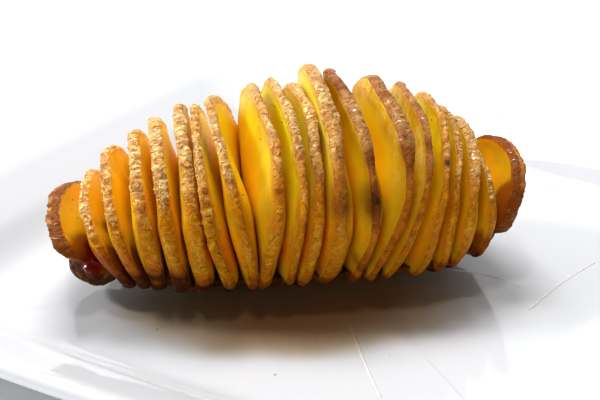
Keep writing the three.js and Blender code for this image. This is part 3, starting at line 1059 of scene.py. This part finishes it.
def union_of(name, parts):
    """Joins closed objects into one, and removes the parts."""
    first, *others = parts
    held = bpy.data.collections.new(name + "_parts")
    for other in others:
        held.objects.link(other)
    join = first.modifiers.new("join", "BOOLEAN")
    join.operation = "UNION"
    join.operand_type = "COLLECTION"
    join.collection = held
    join.solver = "MANIFOLD"
    shown = first.evaluated_get(bpy.context.evaluated_depsgraph_get())
    mesh = bpy.data.meshes.new_from_object(shown)
    mesh.name = name
    for part in parts:
        bpy.data.objects.remove(part)
    bpy.data.collections.remove(held)
    made = bpy.data.objects.new(name, mesh)
    bpy.context.scene.collection.objects.link(made)
    return made


parts = [object_from(to_place(build_keel()), "keel", [flesh, skin])]
parts.append(object_from(to_place(build_lump()), "lump", [flesh, skin]))
for piece in slices:
    parts.append(object_from(to_place(build_slice(piece)), f"slice_{piece.index}", [flesh, skin]))
potato = union_of("sliced_potato", parts)
potato.data.set_sharp_from_angle(angle=SHARP_ANGLE)
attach(potato, "root")
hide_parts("potato")
print("potato:", triangles_of(potato), "triangles")

# %% [markdown]
# Oil ran out of the cuts and lies on the dish as a thin amber film, mostly in front of the potato.
# Its colour is deepest and darkest where the potato stands in it and clears outward; that dark part is
# partly oil and partly a painted shadow and reflection of the potato.
# Three thin trickles of clear oil lie beyond it, as rows of flattened beads that run together; their
# near-white colour is a painted highlight.

# %% Oil on the dish
FILM_MIDDLE = Vector((3, -13))
FILM_HALF = Vector((53, 34))
FILM_THICK = 0.3
FILM_SUNK = 0.05
FILM_WANDER = 0.05
OIL_IOR = 1.47
# Trickles of oil on the dish: start, end, bend to the side and width in millimetres.
TRICKLES = [
    ((14, -21), (39, -54), -0.6, 0.40),
    ((31.6, 7.9), (49.4, 7), 1.5, 0.45),
    ((55, -3), (62, 29), 0.8, 0.55),
]
BEADS_PER_WIDTH = 2.5
BEAD_FLATNESS = 0.45


def oil_and_shadow_material():
    material, tree = new_material("oil")
    place = object_place(tree)
    amount, *_ = attribute(tree, "cut")
    cloud = noise_at(place, 60, detail=2.0)
    body = ramp(amount + (cloud - 0.5) * 0.08, 0.03, 0.28)
    # Deepest and darkest next to the potato: partly oil, partly painted shadow and reflection.
    deep = ramp(amount + (cloud - 0.5) * 0.15, 0.05, 0.60)
    sockets = {
        "Base Color": mixed(deep, (0.50, 0.32, 0.09), (0.26, 0.12, 0.04)),
        "Roughness": 0.06,
        "IOR": OIL_IOR,
        "Alpha": 0.30 * body + 0.52 * deep,
    }
    return finish_material(material, sockets)


def build_film():
    top = [(0, 1), (0.3, 1), (0.5, 1), (0.7, 1), (0.84, 1), (0.93, 0.95), (0.98, 0.7), (1.0, 0.2)]
    profile = [(r, share * FILM_THICK) for r, share in top] + [(1.0, -FILM_SUNK), (0, -FILM_SUNK)]
    bm = spun(profile, 96, "Z")
    measured = {}
    for vert in bm.verts:
        radius = math.hypot(vert.co.x, vert.co.y)
        out = vert.co.xy.normalized()
        wander = 1 + FILM_WANDER * noise.noise(Vector((out.x * 2.5, out.y * 2.5, 4)))
        vert.co.x = FILM_MIDDLE.x + vert.co.x * FILM_HALF.x * wander
        vert.co.y = FILM_MIDDLE.y + vert.co.y * FILM_HALF.y * wander
        amount = (1 - radius) * (1 - 0.45 * smooth(0, 50, vert.co.x))
        measured[vert] = browned_value(40, vert.co.x, vert.co.y, (0, 0, 0), amount)
    mark_corners(bm, measured)
    return bm


def add_trickle(bm, start, end, bend, width):
    """Adds one trickle, bead by bead."""
    start, end = Vector(start), Vector(end)
    aside = (end - start).orthogonal().normalized() * bend
    count = round((end - start).length / width * BEADS_PER_WIDTH)
    for i in range(count):
        t = i / (count - 1)
        centre = start.lerp(end, t) + aside * math.sin(math.pi * t)
        size = width * (0.8 + 0.3 * noise.noise(Vector((i / 6, bend, 2))))
        shape = Matrix.Diagonal((size, size, size * BEAD_FLATNESS, 1))
        shape = Matrix.Translation((*centre, DISH_FLOOR_TOP)) @ shape
        bmesh.ops.create_icosphere(bm, subdivisions=2, radius=1, matrix=shape)


def build_trickles():
    bm = bmesh.new()
    for start, end, bend, width in TRICKLES:
        add_trickle(bm, start, end, bend, width)
    return bm


oil = oil_and_shadow_material()
film = object_from(to_place(build_film()), "oil_film", [oil])
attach(film, "root")
print("oil film:", triangles_of(film), "triangles")

# Clear oil, coloured near-white as a painted highlight.
clear = {"Base Color": (1.0, 0.99, 0.96, 1), "Roughness": 0.08, "IOR": OIL_IOR, "Alpha": 0.45}
trickles = object_from(build_trickles(), "oil_trickles", [plain_material("oil_bead_painted_sheen", clear)])
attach(trickles, "root")
print("oil trickles:", triangles_of(trickles), "triangles")

# %% [markdown]
# Coarse pepper stuck to the oily slices, and a few grains fell on the dish. Each grain is a small
# uneven stone. Rays that are cast at the potato from all round find the places where they land.

# %% Pepper
GRAINS = 150
GRAIN_RADII = (0.10, 0.30)
FALLEN = [(15.2, -57.4), (-18.6, -53.8), (-5, -47), (34, -38), (48, -20)]


def pepper_material():
    material, tree = new_material("pepper")
    place = object_place(tree)
    shade = noise_at(place, 700, detail=1.0)
    colour = mixed(ramp(shade, 0.4, 0.7), (0.016, 0.009, 0.005), (0.10, 0.04, 0.012))
    return finish_material(material, {"Base Color": colour, "Roughness": 0.55})


def grain_places(target, chance):
    """Places on an object, in millimetres, that rays from all round the upper half reach first."""
    bm = bmesh.new()
    bm.from_mesh(target.data)
    tree = bvhtree.BVHTree.FromBMesh(bm)
    bm.free()
    middle = Vector((*POTATO_OFFSET.xy, 30)) * MM
    found = []
    while len(found) < GRAINS:
        turn = chance.uniform(0, 2 * math.pi)
        rise = chance.uniform(0.0, 1.2)
        away = Vector((math.cos(turn) * math.cos(rise), math.sin(turn) * math.cos(rise), math.sin(rise)))
        along = Matrix.Rotation(POTATO_TURN, 3, "Z") @ Vector((chance.uniform(-55, 55), 0, 0)) * MM
        aside = Vector((0, 0, chance.uniform(-22, 22))) * MM
        hit, _, _, _ = tree.ray_cast(middle + along + aside + away * 0.2, -away)
        if hit:
            found.append(hit / MM)
    return found


def build_pepper(target):
    chance = random.Random(7)
    bm = bmesh.new()
    fallen = [Vector((x, y, DISH_FLOOR_TOP + 0.1)) for x, y in FALLEN]
    for place in grain_places(target, chance) + fallen:
        size = chance.uniform(*GRAIN_RADII)
        wide, high = chance.uniform(0.6, 1), chance.uniform(0.5, 0.9)
        stretch = Matrix.Diagonal((size, size * wide, size * high, 1))
        turn = Matrix.Rotation(chance.uniform(0, math.pi), 4, (chance.random(), chance.random(), 1))
        shape = Matrix.Translation(place) @ turn @ stretch
        bmesh.ops.create_icosphere(bm, subdivisions=1, radius=1, matrix=shape)
    return bm


pepper = object_from(build_pepper(potato), "pepper", [pepper_material()])
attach(pepper, "root")
print("pepper:", triangles_of(pepper), "triangles")

# %% [markdown]
# The dish stands on a plain pale table in a bright room: most of the light comes from a wide white
# window behind it, so the cuts glow and the glaze shines. A softer light fills the front and gives
# no highlights.

# %% Table and light
FLOOR_SIZE = 8.0
ROOM_DARK = 0.04
ROOM_BRIGHT = 1.05
AWAY = Vector((-math.sin(CAMERA_HEADING), math.cos(CAMERA_HEADING), 0))
RIGHT = Vector((math.cos(CAMERA_HEADING), math.sin(CAMERA_HEADING), 0))
WINDOW = AWAY * 0.93 - RIGHT * 0.36
# Each light's name, its place (away from the camera, to the right, up), the height it is turned to,
# its size, all in metres, and its power in watts.
LIGHTS = [
    ("high_window", (0.46, -0.12, 1.10), 0.02, (0.55, 0.35), 12.5),
    ("side", (0.05, -0.95, 0.70), 0.02, (0.16, 0.16), 6.5),
    ("overhead", (-0.25, -0.15, 1.10), 0.02, (0.12, 0.10), 2.0),
    ("fill", (-0.95, -0.35, 0.30), 0.03, (0.7, 0.4), 3.5),
]


def add_floor():
    bm = bmesh.new()
    bmesh.ops.create_grid(bm, x_segments=1, y_segments=1, size=FLOOR_SIZE / 2 / MM)
    pale = {"Base Color": (0.88, 0.88, 0.88, 1), "Roughness": 0.6}
    made = object_from(bm, "table", [plain_material("table", pale)])


def add_area_light(name, place, target, size, power):
    """A soft rectangular light at a place, turned to a target."""
    data = bpy.data.lights.new(name, "AREA")
    data.shape = "RECTANGLE"
    data.size, data.size_y = size
    data.energy = power
    light = bpy.data.objects.new(name, data)
    light.location = place
    light.rotation_euler = (target - place).to_track_quat("-Z", "Y").to_euler()
    light.visible_camera = False
    light.visible_glossy = name != "fill"
    bpy.context.scene.collection.objects.link(light)


add_floor()
world = bpy.data.worlds.new("room")
world.use_nodes = True
room = world.node_tree
room.nodes.clear()
facing = add_node(room, "ShaderNodeTexCoord", {}, {})
dot = {"operation": "DOT_PRODUCT"}
towards = add_node(room, "ShaderNodeVectorMath", dot, {0: facing, 1: WINDOW}, output=1)
glow = ROOM_DARK + (ROOM_BRIGHT - ROOM_DARK) * ramp(towards, -0.1, 0.5)
background = add_node(room, "ShaderNodeBackground", {}, {"Color": (1, 1, 1, 1), "Strength": glow})
add_node(room, "ShaderNodeOutputWorld", {}, {"Surface": background})
bpy.context.scene.world = world
bpy.context.scene.view_settings.view_transform = "Standard"

for name, (away, right, high), aim, size, power in LIGHTS:
    place = AWAY * away + RIGHT * right + Vector((0, 0, high))
    add_area_light(name, place, Vector((0, 0, aim)), size, power)
print("lights:", [row[0] for row in LIGHTS])
